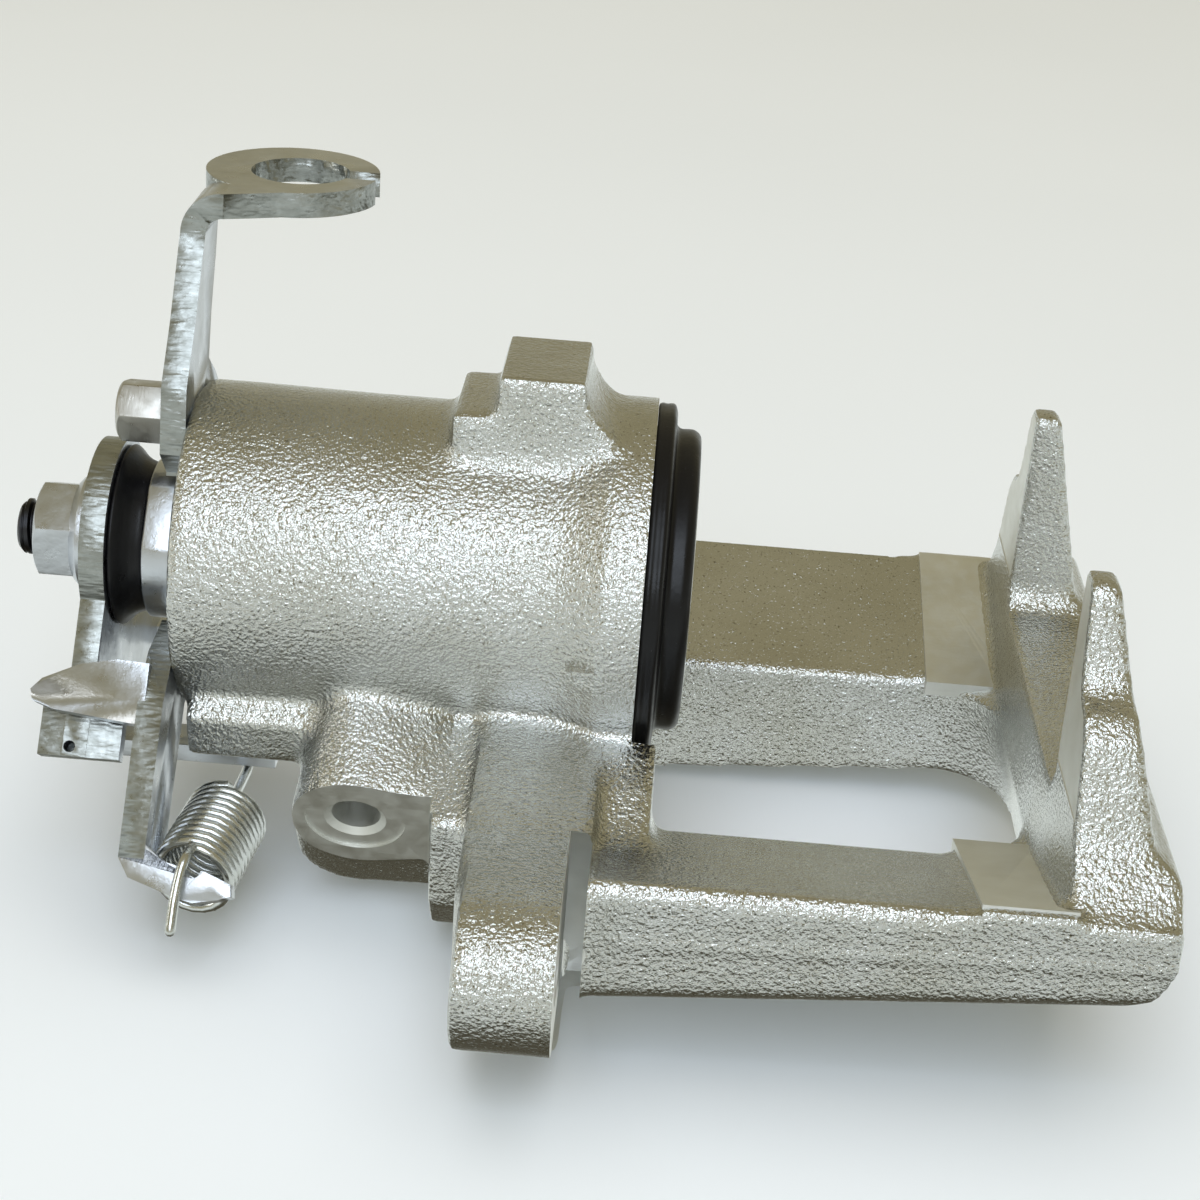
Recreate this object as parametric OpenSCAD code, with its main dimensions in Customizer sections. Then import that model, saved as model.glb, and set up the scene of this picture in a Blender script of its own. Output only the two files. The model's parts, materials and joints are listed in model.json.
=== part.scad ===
// Rear floating brake caliper with a built-in parking brake.
// X runs along the cylinder, towards the fingers. Z points up, towards the disc's centre.
// Shapes are drawn from the cylinder's mouth at X = 0, and at_pad_face() then moves the
// origin to the middle of the piston's pad face.

/* [Cylinder] */
// Piston diameter
piston_d = 38; // [36:1:40]
// Outside diameter of the cylinder wall
cylinder_od = 46; // [44:0.5:48]
// Outside diameter of the mouth rim
mouth_od = 51.2; // [50:0.2:54]
// Distance from the mouth to the closed end
cylinder_len = 64; // [62:1:66]
// How far the piston stands out of the mouth
piston_reach = 6.5; // [5:0.5:8]

/* [Bridge and fingers] */
// Distance from the mouth to the fingers' pad face
pad_gap = 56.4; // [50:0.2:62]
// Overall width of the bridge
bridge_w = 112; // [108:1:116]
// Width of the window in the bridge
window_w = 52; // [48:1:54]
// Distance from the mouth to the bridge's end
bridge_end = 70.7; // [70:0.1:73]
// Height of the finger tips
finger_top = 19; // [16:1:21]

/* [Guide pin ears] */
// Distance of the guide pin axes from the middle plane
ear_y = 60.5; // [58:0.5:62]
// Height of the guide pin axes
ear_z = -27.5; // [-29:0.5:-26]
// Guide pin hole diameter
ear_hole_d = 8.5; // [8:0.5:10]
// Ear boss radius
ear_r = 10.5; // [9.5:0.5:11]

/* [Ports] */
// Hose port hole diameter
port_d = 6.8; // [6.4:0.1:8]
// Washer seat diameter of the hose port
port_seat_d = 13.8; // [13:0.2:14.5]

/* [Parking brake] */
// Lever shaft journal diameter
shaft_d = 12; // [11:0.5:12.5]
// Push spindle diameter
spindle_d = 12; // [11:0.5:12.5]
// Ball diameter
ball_d = 4.8; // [4.6:0.1:5]
// Turn of the lever from the stop to full apply
lever_turn = 28; // [20:1:30]
// Spindle travel at full apply
spindle_travel = 2; // [1.5:0.1:2.2]
// Thickness of the bracket and of the lever
plate_t = 3.5; // [3.4:0.1:4]
// Height of the cable lug's top face
lug_top = 49.5; // [48:0.5:52]
// Cable lug hole diameter
lug_hole_d = 14; // [12:0.5:15]

/* [Hidden] */
$fn = 64;

eps = 0.01;
running = 0.05;             // radial clearance of a running fit
mouth_r = mouth_od / 2;
wall_r = cylinder_od / 2;
piston_r = piston_d / 2;
bore_r = piston_r + running;
half_bridge = bridge_w / 2;
half_window = window_w / 2;

// Steps along the bore, from the mouth to the closed end
bore_end = -39;
circlip_x = -41.5;
chamber_end = -57.5;
chamber_r = 14.5;
journal_r = shaft_d / 2;
bush_r = 8;
spindle_r = spindle_d / 2;

// Parking brake stack outside the closed end
collar_x = -cylinder_len - 6;
collar_r = 11.5;
lever_x = -78.1;
nut_x = -86.5;
stud_x = -89.5;
stud_r = 4;
hub_r = 13.8;
bracket_x = -cylinder_len - plate_t - 0.1;

// Ball ramps
ball_r = ball_d / 2;
ball_track_r = 8;
ball_x = -49.4;
plate_x = -49.2;
flange_x = -54.6;
pin_track_r = 12.9;
pin_r = 1.4;

// Bridge section, seen along X
beam_top_in = -25.8;
beam_top_out = -17;
beam_low_in = -45.5;
beam_low_out = -32.8;
bridge_rise = 4.6;          // the underside climbs towards the fingers, in degrees
corner_r = 12;              // corners of the window at the fingers
window_draft = 14;          // lean of the window's end wall, in degrees
spot_r = 20.5;              // room for the guide pin's flange beside the ear
end_r = 8;                  // lower corner of the bridge's end
window_start = 3.5;
window_end = 56;

// Hose port: its washer seat and the direction that the hose leaves in
port_at = [-37, -27.3, -28];
port_tilt = 27;
port_depth = 11;

// Bleed screw, on the side away from the hose port
bleed_at = [-16, 0, 12];
bleed_r = 4;

// The bracket's arm leans this far from the Y axis; its stop tab is folded from the front edge
arm_lean = 126.4;
tab_t = 3.2;
stop_gap = 0.6;

// Cable lug: its round end, hole, slot and bend
lug_at = [-54.6, 20.6];
lug_r = 12.3;
lug_hole_at = [-53.5, 20.3];
lug_slot = 4;
bend_r = 6;

// Bolts that hold the bracket, and their places round the cylinder
bolt_r = 2.5;
bolt_places = [[-1.5, 19.6], [14, -12.5]];
bolt_heads = [7, 4.6];

// Underside of the lever's spring ear
ear_low = -32.4;

// Return spring
spring_at = [-58.3, -32.6, -34.7];
spring_len = 15.7;
spring_aim = [0, -3.3, 83];
spring_r = 4.8;
spring_wire = 1.4;
spring_turns = 11;
hook_at = [-56, -4.2];

module at_pad_face() {
    translate([-piston_reach, 0, 0]) children();
}

// Turns a YZ outline into a solid from x0 to x1
module along_x(x0, x1) {
    translate([x0, 0, 0]) rotate([90, 0, 90]) linear_extrude(x1 - x0) children();
}

// Turns an XZ outline into a solid from y0 to y1
module along_y(y0, y1) {
    translate([0, y1, 0]) rotate([90, 0, 0]) linear_extrude(y1 - y0) children();
}

// Rod along X
module rod(x0, x1, r) {
    translate([x0, 0, 0]) rotate([0, 90, 0]) cylinder(h = x1 - x0, r = r);
}

// Ring along X
module ring(x0, x1, r_in, r_out) {
    difference() {
        rod(x0, x1, r_out);
        rod(x0 - 1, x1 + 1, r_in);
    }
}

// Spins an outline of [radius, x] points about the X axis
module turned(points) {
    rotate([0, 90, 0]) rotate_extrude() polygon(points);
}

module both_sides() {
    children();
    mirror([0, 1, 0]) children();
}

// Round wire wound about the X axis, with ends a little flattened towards the last turn
function coil_ring(x, r, a, wire, n) = [for (k = [0 : n - 1])
    [x + wire * sin(360 * k / n), (r + wire * cos(360 * k / n)) * cos(a),
     (r + wire * cos(360 * k / n)) * sin(a)]];

function coil_points(x0, x1, r, wire, turns, steps, n) = [for (s = [0 : steps])
    each coil_ring(x0 + (x1 - x0) * s / steps, r, 360 * turns * s / steps, wire, n)];

function coil_faces(steps, n) = concat(
    [[for (k = [0 : n - 1]) k]],
    [for (s = [0 : steps - 1]) each [for (k = [0 : n - 1])
        [s * n + k, (s + 1) * n + k, (s + 1) * n + (k + 1) % n, s * n + (k + 1) % n]]],
    [[for (k = [n - 1 : -1 : 0]) steps * n + k]]);

module coil(x0, x1, r, wire, turns, per_turn = 14, sides = 6) {
    steps = round(turns * per_turn);
    polyhedron(coil_points(x0, x1, r, wire, turns, steps, sides), coil_faces(steps, sides));
}

// ---- housing ----

module cylinder_body() {
    turned([[0, -cylinder_len], [22.6, -cylinder_len], [23.2, -63.4], [23.2, -56],
            [wall_r, -40], [wall_r, -12], [24.2, -8], [mouth_r, -5.5], [mouth_r, 0], [0, 0]]);
}

module top_boss() {
    translate([-21.5, -11.6, 0]) cube([11.9, 18.4, 32.3]);
    translate([-27.5, -11.6, 0]) cube([7, 18.4, 26.8]);
    along_y(-11.6, 6.8) polygon([[-9.7, 20], [-9.7, 30], [-8.2, 27.2], [-5.5, 24.8], [-5.5, 20]]);
}

// Rounded boss for the hose port: its flat seat leans down and outwards
module port_boss() {
    hull() {
        port_outline();
        translate([0, 5.6, -8]) port_outline();
        translate([-38, -17, -15]) sphere(r = 4.5, $fn = 24);
        translate([-44, -8, -18]) cube([19, 4, 4]);
        translate([-29.8, -19, -15.6]) cube([4, 2, 1]);
    }
    along_x(-26, -20) polygon([[-12, -12], [-17, -15], [-35, -22.8], [-33.5, -36.5], [-28, -43],
                               [-8, -40], [0, -20]]);
}

module port_outline() {
    translate(port_at) rotate([90 + port_tilt, 0, 0]) {
        translate([0, 0, -0.4]) cylinder(h = 0.4, r = 8.9, $fn = 40);
        translate([0, -8.2, -0.4]) cube([10.3, 15.6, 0.4]);
    }
}

// Web under the closed end that carries the port boss
module corner_web() {
    along_x(-62, -40) polygon([[-16, -13], [-20.5, -18], [-19, -24.6], [-8, -26], [6, -24], [6, -10]]);
}

// Everything on one side of the middle plane that carries the ear and the beam
module side_frame() {
    // Web from the cylinder out to the ear
    along_x(-20.5, -3.9) polygon([[-8, -10], [-18, -14.6], [-50, -18.4], [-56, -20], [-56, -33],
                                  [-40, -34], [-18, -33], [-6, -24]]);
    // Gusset under the mouth
    along_x(-4, 3.5) polygon([[-8, -25.2], [-15, -21.6], [-21.2, -15], [-24, -15.4],
                              [-30, -17.6], [-36, -20.8],
                              [-40, -22], [-44, -26], [-26, -36], [-8, -30]]);
    // Rim of the mouth running down into the gusset
    along_x(-5.5, 0) polygon([[-4, -20], [-19.5, -16.5], [-27, -17.5], [-24, -30], [-4, -30]]);
    ear();
    intersection() {
        union() {
            beam();
            finger();
        }
        above_underside();
    }
}

// Everything over the bridge's sloping underside
module above_underside() {
    rotate([0, -bridge_rise, 0]) along_x(-30, 100) polygon([[5, 40], [-60, 40], [-60, beam_low_out],
        [-half_bridge, beam_low_out], [-54.6, beam_low_out - 1.6], [-40, beam_low_in + 4.2],
        [3 - half_window, beam_low_in - 0.8], [5, beam_low_in - 3]]);
}

module ear() {
    difference() {
        along_x(-19.5, -6.8) {
            translate([-ear_y, ear_z]) circle(r = ear_r);
            polygon([[-40, -18], [-ear_y + 2, ear_z + ear_r], [-ear_y, ear_z],
                     [-59.2, -41.4], [-50, -41], [-42, -33]]);
            polygon([[-ear_y - ear_r, ear_z], [-ear_y - ear_r, ear_z - 1.5],
                     [-59.2, -41.4], [-ear_y, ear_z]]);
        }
        translate([0, -ear_y, ear_z]) rod(-30, 0, ear_hole_d / 2);
    }
}

// One beam of the bridge, its undercut at the mouth end and the worn pad at the finger end
module beam() {
    along_x(-6.8, bridge_end - 5) beam_section();
    along_x(45.2, pad_gap + 1) polygon([[-half_window, beam_top_in + 1.1], [-half_bridge, beam_top_out + 1.1],
                               [-half_bridge, beam_top_out - 3], [-half_window, beam_top_in - 3]]);
}

module beam_section() {
    polygon([[-half_window, beam_top_in], [-54.6, beam_top_out - 0.1], [-half_bridge, beam_top_out - 1.4],
             [-half_bridge, beam_low_out - 9], [-half_window, beam_low_in - 5]]);
}

module finger() {
    // Finger: a tapering post whose back leans outwards
    intersection() {
        along_x(pad_gap, bridge_end) polygon([[-27.3, finger_top - 0.6], [-27.9, finger_top],
            [-31.9, finger_top], [-33.2, finger_top - 1.6], [-35.6, 8.5], [-37.4, 5.6],
            [-41, 4.6], [-43.6, 2], [-47.8, -10], [-half_bridge, -19], [-half_bridge, -40],
            [0, -52], [0, -13], [-26.5, -13], [-28.6, -10]]);
        along_y(-half_bridge, 0) polygon(concat([[pad_gap, -52], [pad_gap, finger_top],
            [59.7, finger_top], [60.5, finger_top - 1], [67, -10.7], [bridge_end - 1, -12.4],
            [bridge_end, -14]], end_corner()));
    }
    // Foot of the finger over the beam
    intersection() {
        along_x(40, bridge_end) polygon([[-half_window, beam_top_in], [-half_bridge, beam_top_out],
            [-half_bridge, beam_low_out - 9], [0, -52], [0, beam_top_in]]);
        along_y(-half_bridge, 0) polygon(concat([[window_end - corner_r - 2, -52],
            [window_end - corner_r - 2, -10], [bridge_end, -10]], end_corner()));
    }
}

// Round lower corner of the bridge's end, seen along Y
function end_corner() = concat(
    [for (a = [0 : 15 : 90]) [bridge_end - end_r + end_r * cos(a), -22 - end_r * sin(a)]],
    [[bridge_end - end_r - 5, -52]]);

// Window through the bridge, with a round end towards the fingers
module window() {
    translate([window_start, -half_window + 1.8, -60]) cube([24, window_w - 3.6, 47]);
    translate([window_start + 8, -half_window, -60])
        cube([window_end - corner_r - window_start - 8, window_w, 47]);
    for (lean = [0, window_draft])
        translate([window_end - corner_r, 0, -28]) rotate([0, -lean, 0]) window_corners();
}

// End of the window: its wall is upright near the top and leans out below
module window_corners() {
    side = half_window - corner_r;
    translate([0, 0, -30]) linear_extrude(45) polygon(concat(
        [[-8, -half_window]],
        [for (a = [-90 : 15 : 0]) [corner_r * cos(a), corner_r * sin(a) - side]],
        [for (a = [0 : 15 : 90]) [corner_r * cos(a), corner_r * sin(a) + side]],
        [[-8, half_window]]));
}

module bleed_boss() {
    translate(bleed_at) rotate([-90, 0, 0]) cylinder(h = 28.5, r = 6.6);
    translate([bleed_at[0] - 6.6, 14, 0]) cube([13.2, 10, bleed_at[2]]);
}

module housing_holes() {
    rod(bore_end, 20, bore_r);
    rod(chamber_end, bore_end + 1, chamber_r);
    ring(circlip_x, circlip_x + 1.2, chamber_r - 1, 15.7);
    rod(-80, chamber_end + 1, bush_r);
    ring(-12.5, -9.3, bore_r - 1, 21.5);
    ring(-0.8, 5, bore_r - 1, 21.3);
    for (a = [90, 270])
        rotate([a, 0, 0]) translate([0, pin_track_r, 0]) rod(chamber_end - 3, chamber_end + 1, pin_r);
    // Hose port, with its washer seat, chamfer and drilling to the bore
    translate(port_at) rotate([90 + port_tilt, 0, 0]) {
        translate([0, 0, -0.6]) cylinder(h = 10, d = port_seat_d);
        translate([0, 0, -1.4]) cylinder(h = 0.81, r1 = port_d / 2, r2 = port_d / 2 + 0.8);
        translate([0, 0, -port_depth]) cylinder(h = port_depth, d = port_d);
        translate([0, 0, -19]) cylinder(h = 10, r = 1.6);
        translate([0, 0, 0]) linear_extrude(8) polygon([[-12, -9.6], [10.2, -9.6], [10.2, 9.4], [-12, 9.4]]);
    }
    // Bleed screw hole and its drilling to the bore
    translate(bleed_at) rotate([-90, 0, 0]) {
        translate([0, 0, 20]) cylinder(h = 12, r = bleed_r + 0.05);
        translate([0, 0, 10]) cylinder(h = 11, r = 1.6);
    }
    for (p = bolt_places)
        translate([0, p[0], p[1]]) rod(-cylinder_len - 1, -cylinder_len + 9, bolt_r);
    // Machined slot beside the mouth end of each ear, for the guide pin's flange
    both_sides() intersection() {
        translate([0, -ear_y, ear_z]) rod(-6.8, -3.9, spot_r);
        translate([-8, -90, -38.5]) cube([6, 90, 60]);
    }
}

module caliper_housing() {
    color([0.72, 0.73, 0.72]) at_pad_face() difference() {
        union() {
            cylinder_body();
            top_boss();
            port_boss();
            corner_web();
            both_sides() side_frame();
            bleed_boss();
        }
        window();
        housing_holes();
    }
}

// ---- piston and hydraulic seals ----

module piston() {
    color([0.8, 0.81, 0.82]) at_pad_face() difference() {
        rod(-36, piston_reach, piston_r);
        rod(-40, -3.5, 15.2);
        ring(2.2, 4.2, 17.6, 30);
        ring(-20, -18.4, 15, 16.2);
        for (a = [0 : 90 : 270])
            rotate([a, 0, 0]) translate([piston_reach - 2.4, 9.5, -2.5]) cube([5, 5.5, 5]);
    }
}

module piston_seal() {
    color([0.08, 0.08, 0.09]) at_pad_face() ring(-12.4, -9.4, bore_r, 21.45);
}

// Folded rubber boot: outer lip pressed in the mouth, inner lip in the piston's groove
module dust_boot() {
    color([0.05, 0.05, 0.06]) at_pad_face()
        turned([[21.25, -0.75], [21.25, 0], [25, 0.02], [25, 2.4], [24.6, 2.8], [21.5, 2.8],
                [21.5, 5.3], [21.1, 6], [20.4, 6.4], [19.4, 6.4], [19.08, 6.1], [19.08, 4.15],
                [17.65, 4.15], [17.65, 2.25], [19.08, 2.25], [19.6, 2.6], [19.6, 5],
                [19.85, 5.3], [20.1, 5], [20.1, 1.9], [20.2, 0.8], [20.2, -0.75]]);
}

module boot_retaining_ring() {
    color([0.7, 0.7, 0.72]) at_pad_face() ring(-0.6, 0.7, 19.4, 20.18);
}

// ---- self-adjuster, carried by the piston ----

module adjuster_nut() {
    color([0.62, 0.6, 0.55]) at_pad_face() difference() {
        turned([[0, -24], [9, -24], [9.5, -23.5], [9.5, -10.4], [14.4, -10.4], [14.4, -8.6],
                [11, -4.6], [9, -3.8], [0, -3.8]]);
        rod(-30, 0, spindle_r + 0.06);
        for (a = [0 : 60 : 300])
            rotate([a, 0, 0]) translate([-30, -1, 8.6]) cube([10, 2, 3]);
    }
}

module adjuster_bearing() {
    color([0.75, 0.75, 0.76]) at_pad_face() {
        difference() {
            ring(-12.4, -10.7, 10, 14);
            for (a = [0 : 30 : 330])
                rotate([a, 0, 0]) translate([-11.55, 0, 10.6]) cylinder(h = 2.8, r = 0.62, $fn = 24);
        }
        for (a = [0 : 30 : 330])
            rotate([a, 0, 0]) translate([-11.55, 0, 10.8]) cylinder(h = 2.4, r = 0.55, $fn = 24);
    }
}

module clutch_spring() {
    color([0.7, 0.71, 0.73]) at_pad_face() coil(-17.6, -13.3, 12.3, 0.75, 3);
}

// Split ring that opens outwards into its groove
module split_ring(x0, x1, r_in, r_out) {
    difference() {
        ring(x0, x1, r_in, r_out);
        translate([x0 - 1, -1.6, 0]) cube([x1 - x0 + 2, 3.2, r_out + 1]);
    }
}

module adjuster_retaining_ring() {
    color([0.5, 0.5, 0.52]) at_pad_face() split_ring(-19.8, -18.6, 12.5, 16.1);
}

// ---- parking brake mechanism, inside ----

module push_spindle() {
    color([0.6, 0.6, 0.6]) at_pad_face() difference() {
        union() {
            rod(plate_x, plate_x + 3.6, 14);
            rod(plate_x + 3.5, -6.5, spindle_r);
            rod(plate_x + 3.5, plate_x + 5, 7.6);
        }
        // Three ramps: each is as deep as the ball at rest and runs out over the lever's turn
        for (a = [0 : 120 : 240], s = [0 : 4])
            rotate([a + lever_turn * s / 4, 0, 0])
                translate([ball_x - spindle_travel * s / 4, 0, ball_track_r]) sphere(r = ball_r + 0.15);
        for (a = [90, 270])
            rotate([a, 0, 0]) translate([0, pin_track_r, 0]) rod(-60, -40, pin_r + 0.15);
    }
}

module cage_spring() {
    color([0.72, 0.73, 0.75]) at_pad_face() coil(-44.3, -28.5, 9.6, 1, 5);
}

module spring_cage() {
    color([0.66, 0.65, 0.6]) at_pad_face() {
        difference() {
            union() {
                rod(-42.9, -26, 12.9);
                rod(-42.9, -41.8, 14.4);
            }
            rod(-50, -27, 12.1);
            rod(-30, -20, spindle_r + 0.6);
            for (a = [45 : 90 : 315])
                rotate([a, 0, 0]) translate([-38, -3, 10]) cube([8, 6, 5]);
        }
    }
}

module cage_circlip() {
    color([0.45, 0.45, 0.47]) at_pad_face() split_ring(circlip_x + 0.05, circlip_x + 1.15, 13.1, 15.65);
}

module anti_rotation_pins() {
    color([0.78, 0.78, 0.79]) at_pad_face()
        for (a = [90, 270])
            rotate([a, 0, 0]) translate([0, pin_track_r, 0]) rod(chamber_end - 2.9, -43.4, pin_r - 0.02);
}

module thrust_bearing() {
    color([0.76, 0.76, 0.77]) at_pad_face() {
        difference() {
            ring(-57.4, -55, 7, 11.2);
            for (a = [0 : 30 : 330])
                rotate([a, 0, 0]) translate([-56.2, 0, 7.6]) cylinder(h = 3, r = 0.8, $fn = 24);
        }
        for (a = [0 : 30 : 330])
            rotate([a, 0, 0]) translate([-56.2, 0, 7.9]) cylinder(h = 2.4, r = 0.7, $fn = 24);
    }
}

module ramp_balls() {
    color([0.85, 0.85, 0.86]) at_pad_face()
        for (a = [0 : 120 : 240])
            rotate([a, 0, 0]) translate([ball_x, 0, ball_track_r]) sphere(r = ball_r);
}

module lever_shaft() {
    color([0.13, 0.13, 0.14]) at_pad_face() difference() {
        union() {
            rod(stud_x + 0.8, lever_x + 1, stud_r);
            turned([[0, stud_x], [3.2, stud_x], [stud_r, stud_x + 0.8], [0, stud_x + 0.8]]);
            intersection() {
                rod(lever_x, lever_x + plate_t + 0.2, 5.6);
                translate([lever_x - 1, -4.4, -10]) cube([8, 8.8, 20]);
            }
            rod(lever_x + plate_t + 0.1, -54.5, journal_r);
            rod(flange_x, flange_x + 3.8, 11.2);
        }
        for (a = [0 : 120 : 240])
            rotate([a, 0, 0]) translate([ball_x, 0, ball_track_r]) sphere(r = ball_r + 0.02);
    }
}

module shaft_bush() {
    color([0.75, 0.6, 0.3]) at_pad_face() ring(-63.9, chamber_end, journal_r + running, bush_r - 0.01);
}

module shaft_seal() {
    color([0.06, 0.06, 0.07]) at_pad_face() ring(-68.8, -66, journal_r + running, 9.4);
}

module gland_collar() {
    color([0.74, 0.75, 0.74]) at_pad_face() difference() {
        intersection() {
            rod(collar_x, -cylinder_len - eps, collar_r);
            rotate([-38, 0, 0]) translate([collar_x - 1, -10.7, -20]) cube([10, 21.4, 40]);
        }
        rod(-72, -60, journal_r + 0.4);
        rod(-69, -65.9, 9.42);
    }
}

// Rubber trumpet between the collar and the lever
module shaft_boot() {
    color([0.04, 0.04, 0.05]) at_pad_face()
        turned([[journal_r + running, -73.9], [12.3, -73.9], [12.7, -73.2], [11.9, -72.4],
                [10.9, -71.6], [10.6, -70.9], [10.6, collar_x - 0.02], [7.4, collar_x - 0.02],
                [journal_r + running, -72]]);
}

// ---- lever group ----

// Lever plate, seen along X: hub, stop arm, spring arm and cable arm
module lever_outline() {
    circle(r = hub_r);
    polygon([[-13, -4.6], [-20.9, -15.7], [-25.9, -22.4], [-23.8, -24], [-14, -25.4], [-7, ear_low],
             [-0.6, ear_low], [6, -28.6], [18, -26.4], [31.6, -26.4], [32.6, -19.4], [29.4, -14.6],
             [22, -12.4], [13, -4.6]]);
}

module park_lever() {
    color([0.72, 0.73, 0.72]) at_pad_face() difference() {
        union() {
            along_x(lever_x, lever_x + plate_t) lever_outline();
            // Stop flange, folded outwards behind the bracket's stop tab
            stop_frame() translate([-81.3, 5.5, tab_t + stop_gap]) cube([11.3, 7.7, 2.6]);
            // Spring ear, folded in below the cylinder
            translate([lever_x + 0.5, -7, ear_low]) cube([26, 6.4, plate_t - 0.9]);
            // Cable arm, folded in under the lug
            translate([lever_x + 0.5, 18, -26.4]) cube([26.5, 13.6, plate_t - 0.5]);
        }
        intersection() {
            rod(lever_x - 10, lever_x + plate_t + 10, 5.65);
            translate([lever_x - 11, -4.45, -10]) cube([30, 8.9, 20]);
        }
        // Hole for the spring's hook
        translate([hook_at[0], hook_at[1], -40]) cylinder(h = 20, r = 1.3);
        // Slot for the cable's ball end
        translate([-56.6, 25, -30]) cylinder(h = 10, r = 3.2);
        translate([-56.6, 23.4, -30]) cube([10, 3.2, 10]);
        stop_frame() translate([-77, 11.8, 0]) cylinder(h = 9, r = 0.8);
    }
}

module lever_nut() {
    color([0.7, 0.71, 0.7]) at_pad_face() difference() {
        union() {
            rod(lever_x - 1.9, lever_x - 0.02, 8.5);
            turned([[0, lever_x - 3.1], [7.2, lever_x - 3.1], [8.5, lever_x - 1.9], [0, lever_x - 1.9]]);
            intersection() {
                translate([nut_x, 0, 0]) rotate([8, 0, 0]) rotate([0, 90, 0]) cylinder(h = 7, d = 15.01, $fn = 6);
                turned([[0, nut_x], [6.4, nut_x], [8, nut_x + 1], [8, nut_x + 8], [0, nut_x + 8]]);
            }
        }
        rod(-100, -70, stud_r + 0.01);
    }
}

// ---- bracket ----

// Frame at the bracket's front edge: x along X, y down the arm, z from the front to the back
module stop_frame() {
    translate([0, -21.1, -9.6]) rotate([-arm_lean, 0, 0]) children();
}

module bracket_outline() {
    difference() {
        polygon([[-5, 12.2], [-9, 16.4], [-7.7, 25.6], [-1.5, 33.3], [3.7, 41.5], [5.2, lug_top - 5.9],
                 [14, lug_top - 5.9], [12.5, 39], [9.2, 31.5], [7.4, 25], [12, 21.5], [17.5, 16],
                 [20, 8], [20.4, -10], [18.5, -16.4], [13, -20.4], [2, -20.6], [-10.6, -20.9],
                 [-23.7, -36.6], [-28.4, -37.2], [-36.9, -31], [-24.2, -13.8], [-17.5, -9.6], [-9.5, -9]]);
        circle(r = 12.5);
        translate([-14, -8.9]) square([14, 20.6]);
    }
}

module cable_lug() {
    translate([0, 0, lug_top - plate_t]) linear_extrude(plate_t) difference() {
        union() {
            translate(lug_at) circle(r = lug_r);
            polygon([[bracket_x + bend_r, 5.2], [-58, 6.6], [-51.6, 9.4], [-46.6, 12.5], [-54, 20],
                     [bracket_x + bend_r, 14]]);
        }
        translate(lug_hole_at) circle(d = lug_hole_d);
        translate([lug_hole_at[0], lug_hole_at[1] - lug_slot / 2]) square([20, lug_slot]);
    }
    // Bend from the arm into the lug
    along_y(5.2, 14) difference() {
        translate([bracket_x + bend_r, lug_top - bend_r]) circle(r = bend_r);
        translate([bracket_x + bend_r, lug_top - bend_r]) circle(r = bend_r - plate_t);
        translate([bracket_x + bend_r + eps, lug_top - 20]) square([20, 20.1]);
        translate([bracket_x - 1, lug_top - 20]) square([20, 14]);
    }
}

module stop_tab() {
    stop_frame() linear_extrude(tab_t)
        polygon([[bracket_x + 1, 0], [-71, -0.2], [-76, 0.8], [-81, 3.2], [-82.4, 4.8], [-82, 6.3],
                 [-79, 7.3], [bracket_x + 1, 8.6]]);
}

// Tongue folded inwards at the arm's foot: the spring's hook lies in its notch
module spring_foot() {
    translate([0, -37.3, -31.6]) rotate([-arm_lean, 0, 0]) difference() {
        linear_extrude(3.8)
            polygon([[bracket_x, -4], [bracket_x, -0.7], [-66, 1.9], [-62.9, 2.9], [-59.3, 4.1],
                     [-57, 4.6], [-53.5, 3.9], [-51.9, 3.3], [-52.1, 1.7], [-55.7, 0.3],
                     [-58.4, 0.1], [-61.6, -0.7], [-64.1, -2.6], [-64.1, -4]]);
        translate([-57.4, 0.2, -1]) cylinder(h = 6, r = 1.1);
    }
}

module cable_bracket() {
    color([0.74, 0.75, 0.74]) at_pad_face() difference() {
        union() {
            along_x(bracket_x, -cylinder_len - 0.1) bracket_outline();
            cable_lug();
            stop_tab();
            spring_foot();
        }
        for (p = bolt_places)
            translate([0, p[0], p[1]]) rod(-80, -60, bolt_r + 0.05);
    }
}

module bracket_bolts() {
    color([0.6, 0.6, 0.6]) at_pad_face() {
        for (k = [0, 1])
            translate([0, bolt_places[k][0], bolt_places[k][1]]) bracket_bolt(bolt_heads[k]);
    }
}

module bracket_bolt(head) {
    x = bracket_x - 0.02;
    intersection() {
        translate([x - head, 0, 0]) rotate([20, 0, 0]) rotate([0, 90, 0]) cylinder(h = head, d = 9.24, $fn = 6);
        turned([[0, x - head], [3.7, x - head], [4.7, x - head + 0.8], [4.7, x], [0, x]]);
    }
    rod(x - 0.1, -cylinder_len + 7.5, bolt_r - 0.02);
}

// ---- return spring ----

module return_spring() {
    color([0.78, 0.79, 0.8]) at_pad_face()
        translate(spring_at) rotate(spring_aim)
            coil(0, spring_len, spring_r, spring_wire / 2, spring_turns, 18, 6);
}

// ---- bleed screw ----

module bleed_screw() {
    color([0.68, 0.62, 0.4]) at_pad_face() translate(bleed_at) rotate([-90, 0, 0]) difference() {
        union() {
            translate([0, 0, 20.3]) cylinder(h = 2.2, r1 = 1.9, r2 = bleed_r);
            translate([0, 0, 22.5]) cylinder(h = 8.2, r = bleed_r);
            translate([0, 0, 29.2]) cylinder(h = 5.2, d = 10.4, $fn = 6);
            translate([0, 0, 34.3]) cylinder(h = 3.2, r = 2.5);
            translate([0, 0, 37.4]) cylinder(h = 1.2, r = 3.1);
            translate([0, 0, 38.5]) cylinder(h = 3.4, r1 = 2.9, r2 = 2.3);
        }
        translate([0, 0, 24]) cylinder(h = 20, r = 1);
    }
}

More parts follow.
